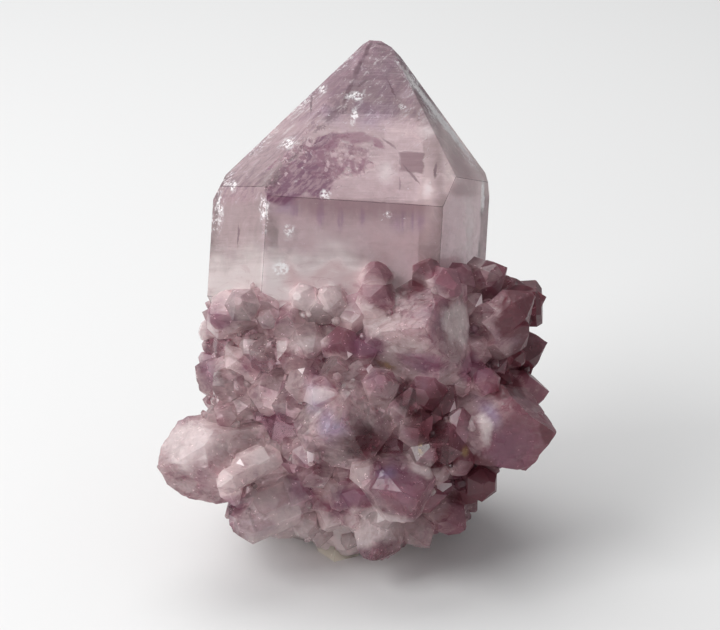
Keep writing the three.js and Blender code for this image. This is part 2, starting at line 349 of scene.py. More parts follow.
# Crystals with a place of their own: foot, way out, radius, length, point and turn.
placedCrystals = {
    "darkCorner": ((15.6, -4.2, 26.2), (0.99, -0.10, 0.02), 2.35, 3.1, 0.25, 0.0),
    "brightSplinter": ((-9.4, -12.2, 10.9), (-0.84, -0.38, -0.42), 1.35, 1.5, 1.0, 0.3),
    "lowLeft": ((-7.2, -9.0, 5.6), (-0.85, -0.42, -0.32), 2.0, 3.6, 0.45, 0.2),
    "rightWing": ((13.0, -7.0, 29.4), (0.75, -0.5, -0.35), 1.3, 1.6, 0.6, 0.1),
    "leftDark": ((-12.2, -9.6, 25.0), (0.1, -0.75, 0.65), 1.9, 0.9, 0.5, 0.6),
}


def crystalGroups(bm):
    seen = set()
    groups = []
    for start in bm.faces:
        if start in seen:
            continue
        seen.add(start)
        group, waiting = [], [start]
        while waiting:
            face = waiting.pop()
            group.append(face)
            for edge in face.edges:
                if edge.calc_face_angle_signed(0) < bodyLook["hollow"]:
                    continue
                for other in edge.link_faces:
                    if other not in seen:
                        seen.add(other)
                        waiting.append(other)
        groups.append(group)
    groups.sort(key=lambda group: -sum(face.calc_area() for face in group))
    return groups


def cleaned(bm):
    bmesh.ops.remove_doubles(bm, verts=bm.verts, dist=bodyLook["merge"])
    bmesh.ops.dissolve_limit(
        bm, angle_limit=math.radians(bodyLook["flat"]), verts=bm.verts, edges=bm.edges)
    bm.normal_update()


# Points along the hollows between crystals and on the bare crust, each with its way out.
def hollowSpots(bm, groups, rng, count):
    spots = []
    main = set(groups[0])
    for edge in bm.edges:
        first, second = edge.link_faces
        if edge.calc_face_angle_signed(0) > hollowLook["deep"] or edge.calc_length() < hollowLook["long"]:
            continue
        if first in main and second in main:
            continue
        outward = (first.normal + second.normal).normalized()
        ends = [vert.co.copy() for vert in edge.verts]
        spots.append((edge.calc_length(), ends, outward, first in main or second in main))
    for face in groups[1]:
        middle = face.calc_center_median()
        for vert in face.verts:
            share = face.calc_area() / len(face.verts)
            spots.append((share, [middle, vert.co.copy()], face.normal.copy(), False))
    chosen = rng.choices(spots, weights=[spot[0] for spot in spots], k=count)
    return [(ends[0].lerp(ends[1], rng.random()), outward, byMain) for _, ends, outward, byMain in chosen]


def boxHolds(point, margin):
    low, high = cadBox
    return all(low[i] + margin < point[i] < high[i] - margin for i in range(3))


# Shares of a prism's radius: how deep it stands, its foot, its shoulders and how far its tip strays.
prismLook = {
    "spin": 2,
    "sunk": 0.9,
    "foot": 0.92,
    "shoulder": 0.86,
    "steep": 1.05,
    "skew": 0.2,
}


# A six sided prism with a point that may be blunt, standing in the surface at place.
def pointedPrism(bm, place, axis, radius, length, rng, point=None, turned=None):
    look = prismLook
    spin = rng.random() * look["spin"] if turned is None else turned
    turn = axis.to_track_quat("Z", "Y").to_matrix().to_4x4() @ Matrix.Rotation(spin, 4, "Z")
    shaft = length + radius * look["sunk"]
    at = Matrix.Translation(place + axis * (length - shaft / 2)) @ turn
    ring = bmesh.ops.create_cone(
        bm, cap_ends=True, cap_tris=False, segments=6, radius1=radius * look["foot"], radius2=radius,
        depth=shaft, matrix=at)["verts"]
    faces = list(dict.fromkeys(face for vert in ring for face in vert.link_faces))
    bm.normal_update()
    top = max(faces, key=lambda face: face.normal.dot(axis))
    point = point or 1 - rng.uniform(*fillLook["blunt"])
    bmesh.ops.inset_individual(
        bm, faces=[top], thickness=radius * look["shoulder"] * point, depth=radius * look["steep"] * point,
        use_even_offset=True)
    sideways = Vector([rng.uniform(-1, 1) for _ in range(3)]) * radius * look["skew"]
    bmesh.ops.translate(bm, verts=top.verts, vec=sideways)
    group = faces + [face for vert in top.verts for face in vert.link_faces]
    return list(dict.fromkeys(group))


def fillCrystals(spots, rng):
    look = fillLook
    placed = [Vector(place) for place, *_ in placedCrystals.values()]
    batches = []
    for place, axis, radius, length, point, turned in placedCrystals.values():
        batches.append([(Vector(place), Vector(axis).normalized(), radius, length, point, turned)])
    for place, outward, byMain in spots:
        if any((place - other).length < look["apart"] for other in placed):
            continue
        radius = rng.uniform(*look["radius"]) * (look["byPoint"] if byMain else 1)
        length = radius * rng.uniform(*look["length"]) * look["short"]
        jitter = Vector([rng.uniform(-1, 1) for _ in range(3)]) * look["tilt"]
        axis = (outward + jitter).normalized()
        tip = place + axis * (length + radius)
        if byMain and tip.z > look["topFront"]:
            continue
        shown = toRest @ tip
        if not boxHolds(shown, (radius * look["inBox"]) * mm):
            continue
        if min(shown.z, (toRest @ place).z) < (look["lowest"] + radius) * mm:
            continue
        placed.append(place)
        for batch in batches:
            if all((place - other).length > look["batchGap"] for other, *_ in batch):
                batch.append((place, axis, radius, length, None, None))
                break
        else:
            batches.append([(place, axis, radius, length, None, None)])
    print("fill crystals", len(placed), "in", len(batches), "batches")
    return batches


def joinCrystals(mesh, batches, rng):
    body = newObject("joining", mesh)
    for batch in batches:
        bm = bmesh.new()
        for place, axis, radius, length, point, turned in batch:
            pointedPrism(bm, place, axis, radius, length, rng, point, turned)
        bmesh.ops.recalc_face_normals(bm, faces=bm.faces)
        other = bpy.data.meshes.new("batch")
        bm.to_mesh(other)
        bm.free()
        tool = newObject("batch", other)
        union = body.modifiers.new("union", "BOOLEAN")
        union.operation = "UNION"
        union.solver = "MANIFOLD"
        union.object = tool
        bpy.context.view_layer.update()
        graph = bpy.context.evaluated_depsgraph_get()
        grown = bpy.data.meshes.new_from_object(body.evaluated_get(graph))
        body.modifiers.clear()
        body.data = grown
        bpy.data.objects.remove(tool)
    bpy.data.objects.remove(body)
    return grown


# The tips of most crystals end in a small facet.
def bluntTips(bm, groups, rng):
    heart = Vector(bodyLook["heart"])
    tips = {width: [] for width in bodyLook["blunt"]}
    for group in groups[bodyLook["bluntFrom"]:]:
        own = set(group)
        corners = dict.fromkeys(vert for face in group for vert in face.verts)
        tip = max(corners, key=lambda vert: (vert.co - heart).length)
        if len(tip.link_faces) > 3 and own.issuperset(tip.link_faces):  # a corner of a prism has three faces
            tips[rng.choice(bodyLook["blunt"])].append(tip)
    for width, verts in tips.items():
        bmesh.ops.bevel(
            bm, geom=verts, offset=width, offset_type="OFFSET", affect="VERTICES", segments=1,
            profile=0.5, clamp_overlap=True, material=-1)
    print("blunted", sum(len(verts) for verts in tips.values()))


# Edges of the chosen faces are halved until hardly any is longer than the grain.
def refine(bm, chosen, grain):
    for _ in range(bodyLook["halvings"]):
        bmesh.ops.triangulate(bm, faces=[face for face in bm.faces if chosen(face) and len(face.verts) > 3])
        edges = dict.fromkeys(edge for face in bm.faces if chosen(face) for edge in face.edges)
        edges = [edge for edge in edges if edge.calc_length() > grain]
        bmesh.ops.subdivide_edges(bm, edges=edges, cuts=1)
    bmesh.ops.triangulate(bm, faces=[face for face in bm.faces if chosen(face) and len(face.verts) > 3])
    bm.normal_update()


wornLook = {
    "longest": 2,
    "cuts": 24,
    "depth": 0.30,
    "size": 0.9,
    "bite": (1.6, 0.1),
}


# The ridges of the big point are chipped here and there.
def wearEdges(bm):
    look = wornLook
    gain, least = look["bite"]
    ridges = [
        edge for edge in bm.edges if edge.calc_length() > look["longest"]
        and all(face.material_index == pointEdgeSlot for face in edge.link_faces)]
    cut = bmesh.ops.subdivide_edges(bm, edges=ridges, cuts=look["cuts"])
    made = [part for part in cut["geom_inner"] if isinstance(part, bmesh.types.BMVert)]
    bm.normal_update()
    for vert in made:
        bite = noise.fractal(vert.co * look["size"], 1.0, 2.0, 3)
        vert.co -= vert.normal * look["depth"] * held(bite * gain + least)
    print("worn points", len(made))


ledgeLook = {
    "crystals": 10,
    "grain": 0.55,
    "size": 0.8,
    "depth": 0.17,
    "warp": (0.7, 0.5),
    "levels": (9.7, 0.5),
    "waves": (0.9, 0.5),
    "even": 0.3,
}


# Low ledges with broken outlines over the largest crystals.
def cutLedges(bm, own, ledge):
    look = ledgeLook
    warpSize, warp = look["warp"]
    levelSize, level = look["levels"]
    waveSize, wave = look["waves"]
    for face in own:
        face[ledge] = 1
    refine(bm, lambda face: face[ledge], look["grain"])
    inner = {vert: vert.normal.copy() for face in bm.faces if face[ledge] for vert in face.verts}
    for vert, normal in inner.items():
        if all(face[ledge] for face in vert.link_faces):
            warped = vert.co * look["size"] + noise.noise_vector(vert.co * warpSize) * warp
            nearest = noise.voronoi(warped)[1][0]
            bite = noise.cell(nearest * levelSize) * level
            bite += wave * noise.fractal(vert.co * waveSize, 1.0, 2.0, 3) + look["even"]
            vert.co -= normal * look["depth"] * held(bite)
    print("ledge points", len(inner))


toneLayer, hazeLayer, riseLayer, glintLayer, ledgeLayer = range(5)


def addLayers(bm):
    return (
        bm.faces.layers.float.new("tone"),
        bm.faces.layers.float.new("haze"),
        bm.loops.layers.float.new("rise"),
        bm.faces.layers.float.new("glint"),
        bm.faces.layers.int.new("ledge"),
    )


def markCrystal(layers, group, tone, haze, core):
    far = [(vert.co - core).length for face in group for vert in face.verts]
    low, span = min(far), max(max(far) - min(far), 0.1)
    for face in group:
        face[layers[toneLayer]] = tone
        face[layers[hazeLayer]] = haze
        for loop in face.loops:
            loop[layers[riseLayer]] = ((loop.vert.co - core).length - low) / span


# The face nearest each glint place, looking from the front, gets a painted highlight.
def pickGlints(bm, glint):
    look = bodyLook
    low, high = look["glintArea"]
    shown = [face for face in bm.faces if face.material_index == druseSlot
             and face.normal.y < look["glintFacing"] and low < face.calc_area() < high
             and face.calc_center_median().y < look["glintFront"]]
    for across, up in look["glints"]:
        def away(face):
            middle = face.calc_center_median()
            return math.hypot(middle.x - across, middle.z - up) + middle.y * look["glintDepth"]
        min(shown, key=away)[glint] = 1


# The ridges between faces of one slot, bevelled into faces of another.
def bevelRidges(bm, slot, size, segments, edgeSlot):
    width, least = size
    chosen = []
    for edge in bm.edges:
        if not edge.is_manifold or edge.calc_length() < least:
            continue
        if max(vert.co.z for vert in edge.verts) > bodyLook["tipFrom"]:
            continue
        slots = {face.material_index for face in edge.link_faces}
        if edge.calc_face_angle_signed(0) > bodyLook["ridge"] and slots == {slot}:
            chosen.append(edge)
    bmesh.ops.bevel(
        bm, geom=chosen, offset=width, offset_type="OFFSET", affect="EDGES", segments=segments,
        profile=0.5, clamp_overlap=True, material=edgeSlot)
    print("bevelled", len(chosen))


def crystalBody(materials):
    look = bodyLook
    rng = random.Random(look["seed"])
    fillRng = random.Random(fillLook["seed"])
    bm = bmesh.new()
    bm.from_mesh(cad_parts["spirit_quartz"].data)
    bm.transform(toUpright)
    cleaned(bm)
    spots = hollowSpots(bm, crystalGroups(bm), fillRng, fillLook["tries"])
    bmesh.ops.triangulate(bm, faces=bm.faces)
    mesh = bpy.data.meshes.new("packed")
    bm.to_mesh(mesh)
    bm.free()
    grown = joinCrystals(mesh, fillCrystals(spots, fillRng), fillRng)
    bm = bmesh.new()
    bm.from_mesh(grown)
    cleaned(bm)
    bluntTips(bm, crystalGroups(bm), rng)
    bm.normal_update()
    layers = addLayers(bm)
    groups = crystalGroups(bm)
    hulls = []
    for index, group in enumerate(groups):
        middle = sum((face.calc_center_median() for face in group), Vector()) / len(group)
        tone = rng.uniform(*look["tone"])
        haze = rng.uniform(*look["haze"])
        if index >= druseSlot and len(group) > look["namedFaces"]:
            for place, namedTone, namedHaze in look["named"].values():
                if (middle - Vector(place)).length < look["namedReach"]:
                    tone, haze = namedTone, namedHaze
        markCrystal(layers, group, tone, haze, Vector(look["heart"]))
        for face in group:
            face.material_index = min(index, druseSlot)
        if len(group) > look["hullFaces"]:
            corners = dict.fromkeys(vert for face in group for vert in face.verts)
            hulls.append([vert.co.copy() for vert in corners])
    pickGlints(bm, layers[glintLayer])
    valleys = hollowSpots(bm, groups, fillRng, drusyLook["count"])
    largest = groups[druseSlot:druseSlot + ledgeLook["crystals"]]
    cutLedges(bm, [face for group in largest for face in group], layers[ledgeLayer])
    bevelRidges(bm, pointSlot, look["bevelMain"], 2, pointEdgeSlot)
    bevelRidges(bm, druseSlot, look["bevelCrystal"], 1, druseEdgeSlot)
    wearEdges(bm)
    refine(bm, lambda face: face.material_index in (crustSlot, druseSlot, druseEdgeSlot), look["paintGrain"])
    paintClouds(bm)
    bm.transform(toRest)
    mesh = bpy.data.meshes.new("spirit_quartz_body")
    bm.to_mesh(mesh)
    bm.free()
    mesh.validate()  # drops the few doubled faces that the cuts leave
    for name in bodySlots:
        mesh.materials.append(materials[name])
    body = newObject("spirit_quartz_body", mesh)
    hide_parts("spirit_quartz")
    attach(body, "root")
    print("body", len(mesh.polygons), "faces,", len(groups), "crystals")
    return valleys, hulls


# The cloudy heart under the clear crystals: the crust and the largest crystals shrunk a little, with the
# milky foot of the big point, all grown together, rounded and made lumpy.
coreLook = {
    "crust": 0.985,
    "crystal": 0.72,
    "largest": 6,
    "foot": ((-1.5, -1.5, 23.5), (9.0, 8.5, 8.0)),
    "voxel": 0.5,
    "smooth": 3,
    "lumps": (0.35, 0.9, 0.5),
}


def cloudCore(hulls, materials):
    look = coreLook
    bm = bmesh.new()
    for index, points in enumerate(hulls[1:look["largest"] + 1]):
        middle = sum(points, Vector()) / len(points)
        share = look["crystal"] if index else look["crust"]
        made = [bm.verts.new(middle + (point - middle) * share) for point in points]
        hull = bmesh.ops.convex_hull(bm, input=made)
        spare = [part for part in hull["geom_interior"] if isinstance(part, bmesh.types.BMVert)]
        bmesh.ops.delete(bm, geom=spare, context="VERTS")
    place, radii = look["foot"]
    at = Matrix.Translation(place) @ Matrix.Diagonal((*radii, 1))
    bmesh.ops.create_icosphere(bm, subdivisions=3, radius=1, matrix=at)
    bmesh.ops.recalc_face_normals(bm, faces=bm.faces)
    mesh = bpy.data.meshes.new("grown")
    bm.to_mesh(mesh)
    bm.free()
    grown = newObject("grown", mesh)
    remesh = grown.modifiers.new("grown together", "REMESH")
    remesh.mode = "VOXEL"
    remesh.voxel_size = look["voxel"]
    smooth = grown.modifiers.new("rounded", "SMOOTH")
    smooth.iterations = look["smooth"]
    bpy.context.view_layer.update()
    mesh = bpy.data.meshes.new_from_object(grown.evaluated_get(bpy.context.evaluated_depsgraph_get()))
    bpy.data.objects.remove(grown)
    bm = bmesh.new()
    bm.from_mesh(mesh)
    bm.normal_update()
    size, depth, middle = look["lumps"]
    for vert in bm.verts:
        sink = noise.fractal(vert.co * size, 1.0, 2.0, 3) + middle
        vert.co -= vert.normal * depth * held(sink)
    paintClouds(bm)
    bm.transform(toRest)
    bm.to_mesh(mesh)
    bm.free()
    mesh.shade_smooth()
    mesh.name = "cloud_core"
    mesh.materials.clear()
    mesh.materials.append(materials["core"])
    core = newObject("cloud_core", mesh)
    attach(core, "root")
    print("cloud core", len(mesh.polygons), "faces")


# Tiny points in the hollows that are left.
drusyLook = {
    "seed": 23,
    "count": 260,
    "radius": (0.2, 0.5),
    "length": (0.5, 1.1),
    "grow": 0.5,
    "root": 0.4,
    "tilt": 0.45,
    "tone": (0.1, 0.7),
    "haze": (0.1, 0.5),
    "lowest": 0.9,
    "bare": (10, 26),
}


def drusyPoints(spots, materials):
    look = drusyLook
    rng = random.Random(look["seed"])
    bm = bmesh.new()
    layers = addLayers(bm)
    made = 0
    for place, outward, byMain in spots:
        radius = rng.uniform(*look["radius"])
        length = rng.uniform(*look["length"]) * (look["grow"] + radius)
        jitter = Vector([rng.uniform(-1, 1) for _ in range(3)]) * look["tilt"]
        axis = (outward + jitter).normalized()
        tone, haze = rng.uniform(*look["tone"]), rng.uniform(*look["haze"])
        tip = toRest @ (place + axis * (length + radius))
        if place.x > look["bare"][0] and place.z > look["bare"][1]:
            continue
        if byMain or not boxHolds(tip, radius * mm) or min(tip.z, (toRest @ place).z) < look["lowest"] * mm:
            continue
        group = pointedPrism(bm, place, axis, radius, length, rng)
        markCrystal(layers, group, tone, haze, place - axis * look["root"] * length)
        made += 1
    bmesh.ops.recalc_face_normals(bm, faces=bm.faces)
    paintClouds(bm)
    bm.transform(toRest)
    mesh = bpy.data.meshes.new("drusy_points")
    bm.to_mesh(mesh)
    bm.free()
    mesh.materials.append(materials["drusy"])
    drusy = newObject("drusy_points", mesh)
    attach(drusy, "root")
    print("drusy points", made, "faces", len(mesh.polygons))


# Soaks say how far light goes into the milky share, in metres, and how it differs for red, green and blue.
quartzLook = {
    "ior": 1.544,
    "absorb": (0.77, 0.60, 0.65),
    "density": 60,
    "soakColours": (1.0, 0.8, 0.85),
    "soakPoint": 0.0012,
    "soakDruse": 0.0016,
    "soakCore": 0.002,
}


# Clear quartz mixed with its milky share.
def quartzShader(g, clearColour, milkColour, milk, polish, roughness, normal, soak):
    clear = g.node("ShaderNodeBsdfPrincipled", {}, {
        "Base Color": clearColour, "Roughness": polish, "IOR": quartzLook["ior"],
        "Transmission Weight": 1, "Normal": normal})
    milky = g.node("ShaderNodeBsdfPrincipled", {"subsurface_method": "BURLEY"}, {
        "Base Color": milkColour, "Roughness": roughness, "IOR": quartzLook["ior"],
        "Subsurface Weight": 1, "Subsurface Radius": quartzLook["soakColours"],
        "Subsurface Scale": soak, "Normal": normal})
    return g.node("ShaderNodeMixShader", {}, {0: milk, 1: clear, 2: milky})


def absorption(g):
    return g.node("ShaderNodeVolumeAbsorption", {}, {
        "Color": (*quartzLook["absorb"], 1), "Density": quartzLook["density"]})


# Markings of the big point, seen from the front: upright x, z, half width, half height, turn.
pointMarks = {
    "milk": ((-10.5, 28.0, 9.5, 7.0), (-2, 28.0, 10, 6)),
    "window": ((6.4, 40.4, 3.2, 4.1, 0), (3.2, 38.6, 2.6, 2.2, 0), (0.4, 37.7, 2.4, 1.3, 0)),
    "quad": (6.1, 40.2, 1.2, 1.0, 3),
    "roughDeep": (
        (-5.0, 38.6, 4.2, 1.9, -44), (-3.2, 38.6, 1.9, 2.6, -10), (-2.6, 42.0, 2.2, 0.9, -40),
        (-6.4, 37.4, 2.4, 1.2, -30)),
    "roughBusy": ((-0.4, 41.0, 2.8, 2.0, 0), (-1.6, 39.8, 1.8, 2.2, 0), (-5.9, 39.9, 3.6, 0.8, -52)),
    "roughBand": (
        (0.6, 42.7, 2.3, 0.75, 4), (-1.7, 42.0, 1.2, 0.6, -40), (2.8, 42.1, 1.0, 0.5, 42),
        (-1.3, 39.9, 1.1, 0.28, 66), (-0.5, 39.8, 1.1, 0.26, -63), (0.3, 39.7, 1.1, 0.28, 66),
        (1.15, 39.8, 1.2, 0.26, -66), (-2.9, 40.6, 0.5, 1.4, 0)),
    "bruises": (
        (0.6, 47.0, 1.1, 0.7), (-6.2, 42.1, 1.2, 0.8, -20), (-2.4, 36.8, 0.7, 0.6),
        (-5.9, 33.3, 0.8, 0.8), (5.2, 46.0, 0.4, 0.4), (3.8, 35.0, 0.5, 0.4),
        (-8.4, 35.6, 0.6, 1.5), (-11.6, 38.0, 0.8, 0.6), (0.5, 45.0, 0.5, 1.2, 10),
        (6.4, 48.6, 0.7, 1.0), (-13.0, 36.2, 0.4, 1.5), (-2.8, 47.9, 0.6, 0.6), (-6.6, 29.6, 1.2, 0.9),
    ),
    "leftEdge": (
        (-0.8, 50.9, 3.0, 1.2, -47), (-4.8, 46.9, 3.4, 1.5, -46), (-9.0, 42.7, 3.6, 1.5, -46),
        (-12.6, 38.6, 3.0, 1.1, -55), (-13.4, 35.0, 1.2, 2.8), (-8.3, 34.6, 0.7, 2.6)),
    "paintedHighlightStrip": ((8.7, 45.5, 7.6, 0.42, 52.8), (13.3, 37.0, 0.3, 2.2)),
    "rightEdge": ((5.8, 49.6, 3.0, 0.9, 52), (8.4, 45.6, 2.8, 1.0, 56), (11.4, 41.6, 3.8, 0.6, 52)),
    "lines": (
        (1.75, 52.0, 1.5, 0.30, -67), (0.8, 50.0, 1.6, 0.42, -66), (-0.2, 47.4, 1.9, 0.32, -71),
        (-1.75, 45.1, 1.7, 0.30, -37), (3.2, 52.6, 1.1, 0.2, 8), (1.2, 48.4, 0.9, 0.2, -40),
        (-1.8, 44.8, 1.6, 0.2, -40), (3.9, 42.1, 1.2, 0.16, 38), (8.4, 39.3, 0.22, 1.0, 3),
        (6.1, 38.9, 1.7, 0.16, 50), (4.9, 38.0, 0.12, 0.8, 0), (4.2, 47.8, 1.6, 0.12, 66),
        (-3.9, 46.4, 0.14, 1.6, 0), (-11.0, 33.0, 0.12, 1.6, 4),
    ),
    "raggedRidge": (
        (-1.0, 45.2, 1.9, 0.4, -48), (-3.0, 43.6, 1.8, 0.4, -32), (-5.4, 41.0, 2.6, 0.5, -54),
        (-7.4, 38.2, 2.4, 0.5, -58)),
    "purple": (
        (-1.5, 44.5, 2.6, 2.2), (2.6, 45.2, 3.0, 2.4), (-6.5, 35.6, 2.4, 1.4), (3.0, 49.2, 1.4, 1.8)),
    "streaks": (
        (-2.8, 34.9, 0.6, 1.9), (-0.9, 34.3, 0.5, 1.6), (-5.4, 35.3, 1.2, 0.9), (1.2, 34.6, 0.5, 1.3),
        (5.6, 34.2, 2.6, 1.6)),
    "pale": (
        (11.9, 33.5, 0.8, 8.5), (8.6, 45.4, 1.9, 2.4), (0.6, 50.4, 0.8, 2.0), (-10.0, 43.6, 1.5, 2.4),
        (3.6, 39.2, 1.4, 1.9), (7.8, 43.4, 1.6, 1.0), (7.6, 37.4, 0.7, 1.4), (5.6, 47.4, 1.3, 1.2)),
    "pink": ((6.0, 33.0, 4.5, 4.0), (0.5, 28.4, 5.0, 2.6), (-5.0, 28.8, 3.6, 1.8), (-2.0, 29.6, 3.4, 1.2)),
    "paintedShadeSides": ((11.2, 39.6, 3.6, 1.4, 57), (11.0, 37.4, 2.4, 1.2), (-11.4, 34.5, 3.6, 4.4)),
    "step": (0.6, 36.0, 9.2, 3.8, 0),
    "stepEdge": (0.062, 36.4),
    "glow": (7.6, 36.0, 1.9, 8.0, 0),
    "grooves": (0.4, 0.0001),
}


# Colours of those markings and of the clear and milky shares.
pointTones = {
    "pale": (0.67, 0.585, 0.585),
    "rose": (0.51, 0.37, 0.38),
    "wine": (0.22, 0.10, 0.14),
    "window": (0.70, 0.52, 0.535),
    "pink": (0.50, 0.30, 0.315),
    "purple": (0.36, 0.245, 0.36),
    "veins": (0.27, 0.15, 0.26),
    "light": (0.80, 0.75, 0.755),
    "below": (0.16, 0.07, 0.09),
    "paintedLightRightFace": (0.70, 0.57, 0.57),
    "shade": (0.33, 0.19, 0.215),
    "deep": (0.14, 0.045, 0.09),
    "busy": (0.19, 0.075, 0.115),
    "chip": (0.66, 0.50, 0.53),
    "tip": (0.27, 0.16, 0.20),
    "slantDark": (0.25, 0.14, 0.19),
    "slantPale": (0.84, 0.80, 0.80),
    "crackDark": (0.22, 0.12, 0.16),
    "crackPale": (0.86, 0.82, 0.83),
    "leftFace": (0.24, 0.14, 0.18),
    "swirlPale": (0.75, 0.69, 0.68),
    "swirlDark": (0.42, 0.25, 0.28),
    "paintedShadeLeftPrism": (0.36, 0.29, 0.28),
    "band": (0.21, 0.085, 0.13),
    "quad": (0.20, 0.105, 0.125),
    "lines": (0.10, 0.04, 0.06),
    "bruise": (0.88, 0.85, 0.86),
    "worn": (0.92, 0.90, 0.90),
    "clearPale": (0.95, 0.88, 0.89),
    "clearDeep": (0.83, 0.68, 0.74),
}


def pointMaterial(name, edge=False):
    g = Graph(name)
    marks = pointMarks
    tones = pointTones
    place = g.upright()
    x, y, z = g.split(place)
    cloud = g.noise(place, 0.16, 3, 0.6)
    fine = g.noise(place, 1.1, 3, 0.6)
    grit = g.noise(place, 3.2, 2, 0.65)
    front = 1 - (y - (z - 45).most(0) * 0.7).step(-4, 0)
    wavy = g.shaken(place, 1.1, 0.5)
    frayed = g.shaken(place, 0.9, 1.3)
    drifted = g.shaken(place, 0.22, 7)
    broken = g.chipped(g.shaken(place, 1.6, 0.6), 1.2, 1.7)
    streaks = g.noise(g.stretch(place, (0.10, 0.10, 1.3)), 1.1, 3, 0.6)
    slant = g.noise(g.grain(wavy, -47, 2.4, 0.4), 1.0, 3, 0.7)
    swirl = g.noise(g.stretch(place, (0.45, 0.45, 1.1)), 0.55, 4, 0.7, Distortion=1.6)
    curtain = g.noise(g.stretch(place, (1.5, 1.5, 0.12)), 1.0, 3, 0.6)
    milkZone = g.ovals(drifted, marks["milk"], 0.2) * (streaks * 0.9 + 0.55)
    windowPlace = g.chipped(place, 0.9, 0.5)
    window = g.patch(windowPlace, *marks["window"][0], soft=0.05)
    for shape in marks["window"][1:]:
        window = window.most(g.patch(windowPlace, *shape, soft=0.08))
    window = window * front
    quad = g.patch(wavy, *marks["quad"], soft=0.12) * front
    deep = g.ovals(frayed, marks["roughDeep"], 0.7) * front
    busy = g.ovals(broken, marks["roughBusy"], 0.85) * front
    band = g.ovals(wavy, marks["roughBand"], 0.6) * front
    lines = g.ovals(wavy, marks["lines"], 0.3) * 0.85
    lines = lines.most(g.ovals(frayed, marks["raggedRidge"], 0.2) * grit.step(0.35, 0.6) * 0.8) * front
    purple = g.ovals(drifted, marks["purple"]) * front
    light = g.ovals(frayed, marks["pale"]) * front
    pink = g.ovals(drifted, marks["pink"]) * front
    glow = g.oval(place, *marks["glow"]) * front
    slope, edgeHeight = marks["stepEdge"]
    under = z + x * slope - edgeHeight
    below = g.oval(place, *marks["step"], heart=0.5) * (1 - under.step(-0.15, 0.1))
    below = below * under.step(-3.8, 0) * front
    below = (below * (curtain.step(0.25, 0.65) * 0.5 + 0.85)).least(1)
    veins = g.ovals(wavy, marks["streaks"], 0.2) * front * curtain.step(0.35, 0.6)
    # Painted shade: dark patches on the right slope and the lower left side of the point, also made milkier.
    shade = g.ovals(frayed, marks["paintedShadeSides"], 0.3) * front
    veil = g.noise(place, 0.33, 4, 0.7, Distortion=1.2).step(0.52, 0.75)
    colour = g.mix(milkZone, tones["rose"], tones["pale"])
    colour = g.mix(cloud.step(0.5, 0.75) * 0.4, colour, tones["wine"])
    colour = g.mix(window * 0.7, colour, tones["window"])
    colour = g.mix(pink * 0.55, colour, tones["pink"])
    colour = g.mix(purple * 0.75, colour, tones["purple"])
    colour = g.mix(veins * 0.75, colour, tones["veins"])
    colour = g.mix(light * 0.5, colour, tones["light"])
    colour = g.mix(below * 0.7, colour, tones["below"])
    # Painted light: the right termination face is made paler and milkier.
    paintedLightRightFace = (x - 8.6).step(0, 1.2) * z.step(36.5, 37.5)
    colour = g.mix(paintedLightRightFace * 0.6, colour, tones["paintedLightRightFace"])
    colour = g.mix(shade * 0.65, colour, tones["shade"])
    colour = g.mix(deep * (slant.step(0.38, 0.58) * 0.4 + 0.6), colour, tones["deep"])
    chips = g.node("ShaderNodeTexVoronoi", {}, {"Vector": frayed, "Scale": 2.3}, output="Color")
    chip = g.node("ShaderNodeSeparateColor", {}, {0: chips})
    colour = g.mix(busy * (chip.step(0.1, 0.9) * 0.5 + 0.4), colour, tones["busy"])
    colour = g.mix(busy * chip.out("Green").step(0.78, 0.9) * 0.5, colour, tones["chip"])
    leftFace = (1 - (x - z * 0.763 + 36.7).step(-0.4, 0.4)) * z.step(35.6, 36.8)
    upper = (leftFace * 0.6).most(z.step(43, 46) * 0.6)
    colour = g.mix(z.step(42, 49) * 0.85, colour, tones["tip"])
    colour = g.mix(upper * slant.step(0.50, 0.60), colour, tones["slantDark"])
    colour = g.mix(upper * slant.step(0.44, 0.32) * 0.7, colour, tones["slantPale"])
    cracks = g.node("ShaderNodeTexVoronoi", {"feature": "DISTANCE_TO_EDGE"}, {
        "Vector": g.grain(wavy, -47, 3.0, 0.8), "Scale": 0.6})
    cracks = cracks.step(0.04, 0.01) * fine.step(0.5, 0.65) * front * z.step(36, 39)
    colour = g.mix(cracks * 0.4, colour, g.mix(grit.step(0.45, 0.55), tones["crackDark"], tones["crackPale"]))
    # Painted shade: the left termination face is darkened below the tip.
    colour = g.mix(leftFace * (1 - z.step(42, 49)) * 0.18, colour, tones["leftFace"])
    low = milkZone * (1 - z.step(28, 34))
    colour = g.mix(low * (1 - pink * 0.8) * swirl.step(0.50, 0.62) * 0.55, colour, tones["swirlPale"])
    colour = g.mix(low * swirl.step(0.44, 0.34) * 0.5, colour, tones["swirlDark"])
    # Painted shade: the left prism face is darkened, more so higher up.
    paintedShadeLeftPrism = (1 - (x + 8.6).step(-0.2, 0.2)) * (1 - z.step(35.6, 36.8))
    colour = g.mix(paintedShadeLeftPrism * (z.step(28, 34) * 0.12 + 0.4), colour, tones["paintedShadeLeftPrism"])
    colour = g.mix(band * 0.75, colour, tones["band"])
    colour = g.mix(quad * 0.9, colour, tones["quad"])
    colour = g.mix(lines, colour, tones["lines"])
    clusters = g.ovals(frayed, marks["bruises"], 0.4) * grit.step(0.40, 0.56)
    rims = g.ovals(place, marks["leftEdge"] + marks["rightEdge"])
    specks = rims.step(0, 0.6) * g.noise(place, 2.1, 4, 0.75).step(0.50, 0.60)
    specks = specks.most(g.noise(place, 1.7, 3, 0.7).step(0.70, 0.76) * 0.8)
    # Painted highlight: a broken white line along the right ridge and the right edge of the point.
    paintedHighlightStrip = g.ovals(wavy, marks["paintedHighlightStrip"], 0.5) * grit.step(0.25, 0.45)
    chipsAndHighlight = (clusters * 0.9).most(specks * 0.8).most(paintedHighlightStrip * 0.9)
